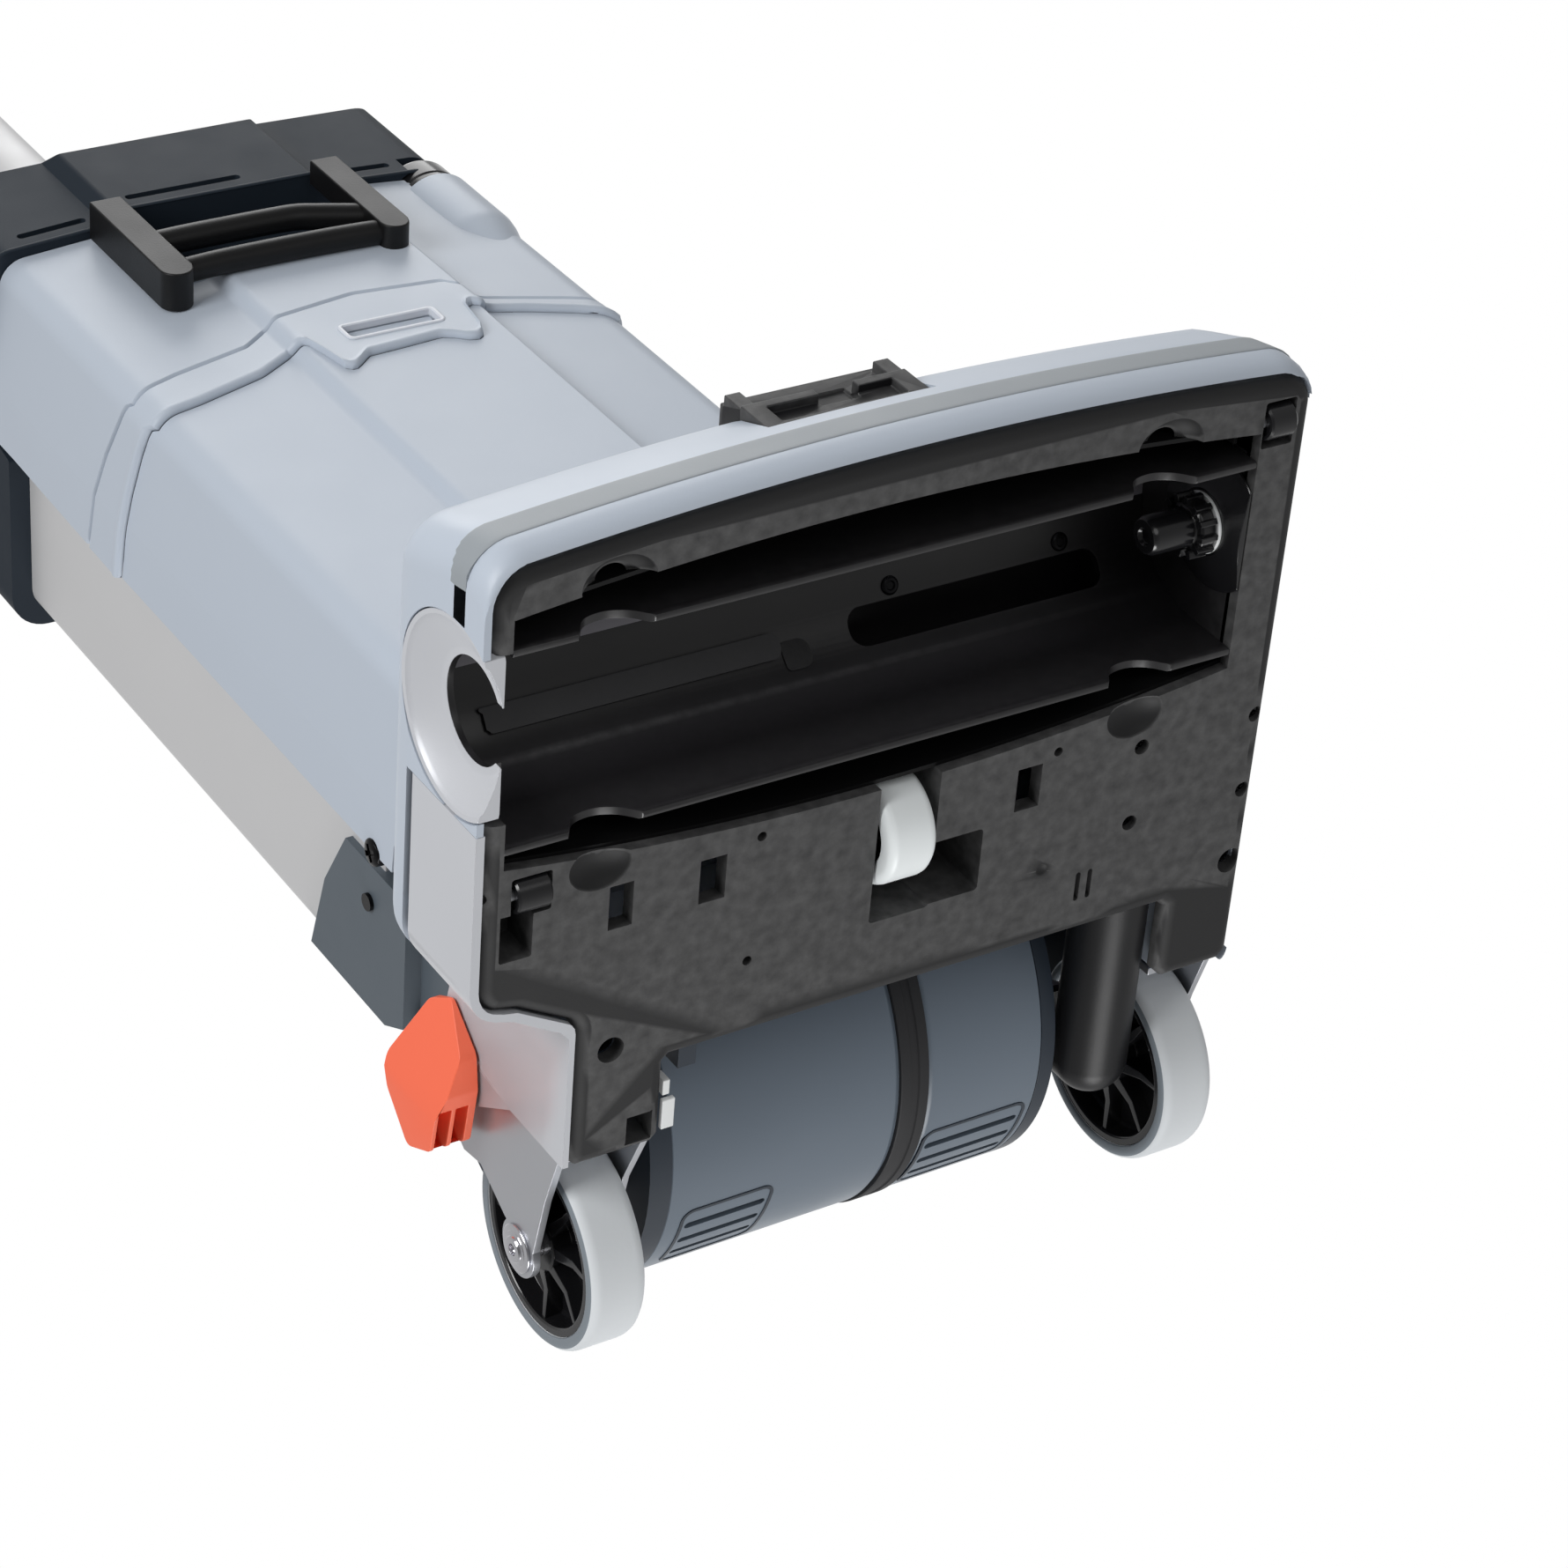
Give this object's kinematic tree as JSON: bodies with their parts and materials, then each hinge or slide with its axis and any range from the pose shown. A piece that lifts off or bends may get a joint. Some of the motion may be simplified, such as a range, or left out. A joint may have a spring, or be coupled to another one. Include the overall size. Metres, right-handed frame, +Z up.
{
  "type": "upright vacuum cleaner",
  "caption": "Commercial upright vacuum cleaner with tilting body, bag compartment, brush head on rear wheels and open brush chamber underneath.",
  "frame": {"origin": "middle of the bounding box on the floor", "axes": "+X to the user's right, +Y forward, +Z up; body parked upright"},
  "size_m": [0.315, 0.3708, 1.22],
  "materials": {
    "shell": "fine satin texture",
    "silver": "satin metallic plastic",
    "bumper": "soft grey strip",
    "black": "fine matte",
    "gloss_black": "gloss",
    "hose_black": "matte rubber",
    "dark": "fine matte",
    "navy": "fine matte",
    "motor": "fine matte",
    "tyre": "light grey rubber",
    "roller": "satin",
    "steel": "satin zinc",
    "aluminium": "satin anodised",
    "screw": "black zinc",
    "orange": "satin",
    "paper": "matte paper"
  },
  "bodies": {
    "base": {"base_plate": "black", "brush_tunnel": "black", "tunnel_end_right": "black", "tunnel_end_left": "black", "air_guide_front": "black", "air_guide_rear": "black", "head_cover": "shell", "bumper": "bumper", "front_insert": "black", "side_panel": "silver", "brush_port": "silver", "bracket_right": "steel", "bracket_left": "steel", "axle_right": "steel", "axle_left": "steel", "motor_housing": "motor", "motor_band": "hose_black", "motor_flange_right": "navy", "motor_flange_left": "navy", "shaft_sleeve": "dark", "belt_guard": "navy", "drive_belt": "hose_black", "suction_duct": "black", "corner_axles": "steel", "cable_clip": "roller", "base_screws": "screw", "drive_ring": "roller", "hose": "hose_black"},
    "wheel_right": {"tyre_right": "tyre", "hub_right": "gloss_black"},
    "wheel_left": {"tyre_left": "tyre", "hub_left": "gloss_black"},
    "centre_roller": {"centre_roller": "roller"},
    "corner_roller_rear": {"corner_roller_rear": "gloss_black"},
    "corner_roller_front": {"corner_roller_front": "gloss_black"},
    "brush_drive": {"brush_drive": "gloss_black"},
    "motor_rotor": {"motor_rotor": "steel"},
    "pedal": {"pedal": "orange"},
    "upright": {"yoke_right": "dark", "yoke_left": "dark", "back_profile": "aluminium", "bag_frame": "black", "door_pins": "screw", "upper_shell": "shell", "carry_handle": "black", "top_cover": "navy", "suction_pipe": "black", "hose_elbow": "black", "hose_port": "black", "dust_bag": "paper", "filter_holder": "roller", "handle_tube": "aluminium", "grip": "dark", "cord_gland": "hose_black", "body_screws": "screw"},
    "bag_door": {"bag_door": "shell"},
    "door_latch": {"door_latch": "shell"},
    "power_switch": {"power_switch": "black"},
    "cord_hook": {"cord_hook": "dark"}
  },
  "joints": [
    {"name": "wheel_right_spin", "type": "hinge", "parent": "base", "child": "wheel_right", "pos_m": [0.0985, -0.1246, 0.04], "axis": [1, 0, 0], "continuous": true},
    {"name": "wheel_left_spin", "type": "hinge", "parent": "base", "child": "wheel_left", "pos_m": [-0.142, -0.1246, 0.04], "axis": [1, 0, 0], "continuous": true},
    {"name": "centre_roller_spin", "type": "hinge", "parent": "base", "child": "centre_roller", "pos_m": [-0.006, 0.0284, 0.02], "axis": [1, 0, 0], "continuous": true},
    {"name": "corner_roller_rear_spin", "type": "hinge", "parent": "base", "child": "corner_roller_rear", "pos_m": [0.1365, 0.0494, 0.011], "axis": [1, 0, 0], "continuous": true},
    {"name": "corner_roller_front_spin", "type": "hinge", "parent": "base", "child": "corner_roller_front", "pos_m": [-0.1433, 0.1559, 0.011], "axis": [1, 0, 0], "continuous": true},
    {"name": "motor_spin", "type": "hinge", "parent": "base", "child": "motor_rotor", "pos_m": [0.0025, -0.1046, 0.105], "axis": [1, 0, 0], "continuous": true},
    {"name": "brush_spin", "type": "hinge", "parent": "base", "child": "brush_drive", "pos_m": [-0.1375, 0.1114, 0.026], "axis": [1, 0, 0], "continuous": true},
    {"name": "pedal_press", "type": "hinge", "parent": "base", "child": "pedal", "pos_m": [0.1225, -0.0636, 0.074], "axis": [1, 0, 0], "range_deg": [0, 14], "stiffness_Nm_per_rad": 0.5, "springref_deg": -17.19},
    {"name": "recline", "type": "hinge", "parent": "base", "child": "upright", "pos_m": [-0.0085, -0.1046, 0.105], "axis": [1, 0, 0], "range_deg": [0, 75], "deforming": ["hose"]},
    {"name": "bag_door_tilt", "type": "hinge", "parent": "upright", "child": "bag_door", "pos_m": [-0.0095, -0.0516, 0.181], "axis": [-1, 0, 0], "range_deg": [0, 15]},
    {"name": "door_latch_press", "type": "slide", "parent": "upright", "child": "door_latch", "axis": [0, -1, 0], "range_m": [0, 0.0025], "stiffness_N_per_m": 150, "springref_m": -0.003},
    {"name": "power_rocker", "type": "hinge", "parent": "upright", "child": "power_switch", "pos_m": [0.0495, -0.0436, 0.639], "axis": [1, 0, 0], "range_deg": [0, 10]},
    {"name": "cord_hook_turn", "type": "hinge", "parent": "upright", "child": "cord_hook", "pos_m": [-0.0085, -0.0896, 1.04], "axis": [0, 1, 0], "range_deg": [0, 180]}
  ],
  "couplings": [
    {"joint": "brush_spin", "follows": "motor_spin", "ratio": 1}
  ]
}
